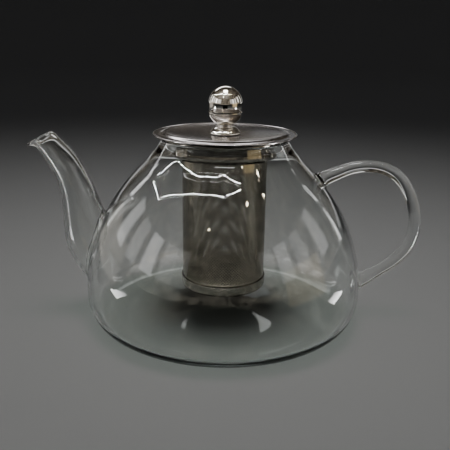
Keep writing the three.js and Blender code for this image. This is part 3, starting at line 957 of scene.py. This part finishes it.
def make_surroundings():
    """A dim, blotchy room that shows only as reflections in the steel and in the edges of the glass."""
    radius = 1700
    bend = arc(0, 0, radius, 4, 85, 12)
    room = turned_backdrop("surroundings", [*bend, (0, radius)])
    material = bpy.data.materials.new("surroundings")
    material.use_nodes = True
    nodes, links = material.node_tree.nodes, material.node_tree.links
    nodes.clear()
    blotches = noise_texture(nodes, links, place_in_piece(nodes), scale=8, detail=4, roughness=0.6)
    ramp = nodes.new("ShaderNodeValToRGB")
    for place, colour in [(0.4, (0.02, 0.018, 0.016)), (0.5, (0.14, 0.12, 0.1)), (0.6, (0.55, 0.5, 0.42))]:
        stop = ramp.color_ramp.elements.new(place)
        stop.color = (*colour, 1)
    for spare in (ramp.color_ramp.elements[-1], ramp.color_ramp.elements[0]):
        ramp.color_ramp.elements.remove(spare)
    links.new(blotches, ramp.inputs["Fac"])
    split = nodes.new("ShaderNodeSeparateXYZ")
    links.new(place_in_piece(nodes), split.inputs["Vector"])
    emission = nodes.new("ShaderNodeEmission")
    links.new(spread(nodes, links, split.outputs["Y"], 0.8, 0.3, 0, 0.8), emission.inputs["Strength"])
    links.new(ramp.outputs["Color"], emission.inputs["Color"])
    output = nodes.new("ShaderNodeOutputMaterial")
    links.new(emission.outputs["Emission"], output.inputs["Surface"])
    material.cycles.emission_sampling = "NONE"
    room.data.materials.append(material)
    for rays in ("camera", "diffuse", "shadow"):
        setattr(room, "visible_" + rays, False)


def make_flag():
    """A black card on the floor in front of the pot. It darkens the middle of the steel, as a reflection."""
    mesh = bpy.data.meshes.new("flag")
    near, far, left, right = -0.1, -1.0, -0.34, 0.25
    card = [(-left * near, near, MM), (-right * near, near, MM), (right, far, MM), (left, far, MM)]
    mesh.from_pydata(card, [], [(0, 1, 2, 3)])
    flag = bpy.data.objects.new("flag", mesh)
    bpy.context.scene.collection.objects.link(flag)
    material, _, _, shader = new_material("flag")
    shader.inputs["Base Color"].default_value = (0.01, 0.01, 0.01, 1)
    shader.inputs["Specular IOR Level"].default_value = 0
    mesh.materials.append(material)
    for rays in ("camera", "diffuse", "transmission", "shadow"):
        setattr(flag, "visible_" + rays, False)


# Bright strips just above the table, which draw the lines down the spout and the handle:
# both ends in metres, radiance and beam in degrees.
GLINT_WIDTH = 0.05
GLINTS = [
    ("left_glint", (-0.19, -0.045, 0.002), (-0.44, -0.13, 0.002), 18, 166),
    ("right_glint", (0.15, -0.03, 0.002), (0.34, -0.09, 0.002), 30, 150),
]

# Ends and bends of the long line of lamps overhead, in metres.
LINE_WIDTH = 0.005
LINE_RADIANCE = 90
LINES = [
    (0.215, -0.262, 0.9), (0, -0.35, 0.9), (-0.272, -0.292, 0.9), (-0.56, -0.165, 0.9), (-0.96, 0.09, 0.9),
    (-1.1, 0.6, 0.9),
]

# Warm bulbs overhead, in metres.
BULB_SIZE = 0.03
BULB_RADIANCE = 60
BULB_COLOUR = (1, 0.86, 0.66)
BULBS = [(-0.23, -0.74, 0.9), (0.3, -0.36, 0.9), (0.52, -0.18, 0.9)]

# Bearing and radiance of the window lamps, which stand round the front at one elevation.
WINDOW_ELEVATION = 24
WINDOWS = [
    (-105, 1.4), (-85, 0.8), (-66, 2), (-48, 0.7), (-36, 0.5), (38, 0.4), (54, 1), (72, 0.6), (98, 1),
]


def make_studio():
    """The floor, the surroundings and all the lamps."""
    make_floor()
    make_surroundings()
    make_flag()
    world = bpy.data.worlds.new("studio")
    bpy.context.scene.world = world
    world.use_nodes = True
    world.node_tree.nodes["Background"].inputs["Color"].default_value = (0.05, 0.05, 0.052, 1)

    lamp("key", (0, -0.02, 1), 0.3, 0.3, 1.8, aim=(0, 0, 0), beam=80, on_floor=True)
    lamp("back_left", (-0.8, 0.65, 0.3), 0.05, 0.5, 3.5)
    lamp("back_right", (0.85, 0.6, 0.3), 0.04, 0.5, 3.5)
    lamp("back_top", (-0.15, 0.8, 0.7), 0.8, 0.24, 1.2, aim=(0, 0, 0.1))
    lid_lamp = lamp("lid_lamp", (-0.2, 0.79, 0.7), 0.7, 0.2, 2.2, aim=(0, 0, 0.1))
    lid_lamp.visible_transmission = False
    lamp("back_low", (0, 1.5, 0.11), 3, 0.18, 0.38, aim=(0, 0, 0.11))
    lamp("back_grey", (0.24, 1.5, 0.37), 0.36, 0.16, 0.2, (0.9, 0.95, 1), aim=(0, 0, 0.1))
    lamp("ceiling", (-0.2, -0.5, 1.1), 1.4, 1, 0.15)
    lamp("grey_side", (-0.4, 0.15, 0.08), 0.35, 0.16, 0.4, (1, 0.93, 0.85))
    lamp("warm_side", (0.4, -0.18, 0.08), 0.28, 0.16, 0.5, (1, 0.8, 0.5))
    for name, start, end, radiance, beam in GLINTS:
        glint = line_lamp(name, start, end, GLINT_WIDTH, radiance, beam=beam)
        glint.visible_transmission = False
    for bearing, radiance in WINDOWS:
        place = at_bearing(bearing, WINDOW_ELEVATION, 1)
        lamp(f"window_{bearing}", place, 0.2, 0.42, radiance, aim=(0, 0, place.z))
    for k, (start, end) in enumerate(zip(LINES, LINES[1:])):
        line_lamp(f"line_{k}", start, end, LINE_WIDTH, LINE_RADIANCE)
    for k, place in enumerate(BULBS):
        lamp(f"bulb_{k}", place, BULB_SIZE, BULB_SIZE, BULB_RADIANCE, BULB_COLOUR)
    bpy.context.scene.view_settings.look = "AgX - Medium High Contrast"


def make_camera():
    """The camera stands in front of the pot, a little above its lid, and looks down by about 17 degrees."""
    data = bpy.data.cameras.new("camera")
    data.sensor_width = 36
    data.lens = 49.6
    camera = bpy.data.objects.new("camera", data)
    bpy.context.scene.collection.objects.link(camera)
    camera.matrix_world = (
        Matrix.Translation((0.00062, -0.3265, 0.1525))
        @ Matrix.Rotation(math.pi / 2 - 0.301, 4, "X")
        @ Matrix.Rotation(0.014, 4, "Z")
    )
    data.clip_start, data.clip_end = 0.01, 50
    bpy.context.scene.camera = camera


make_studio()
make_camera()
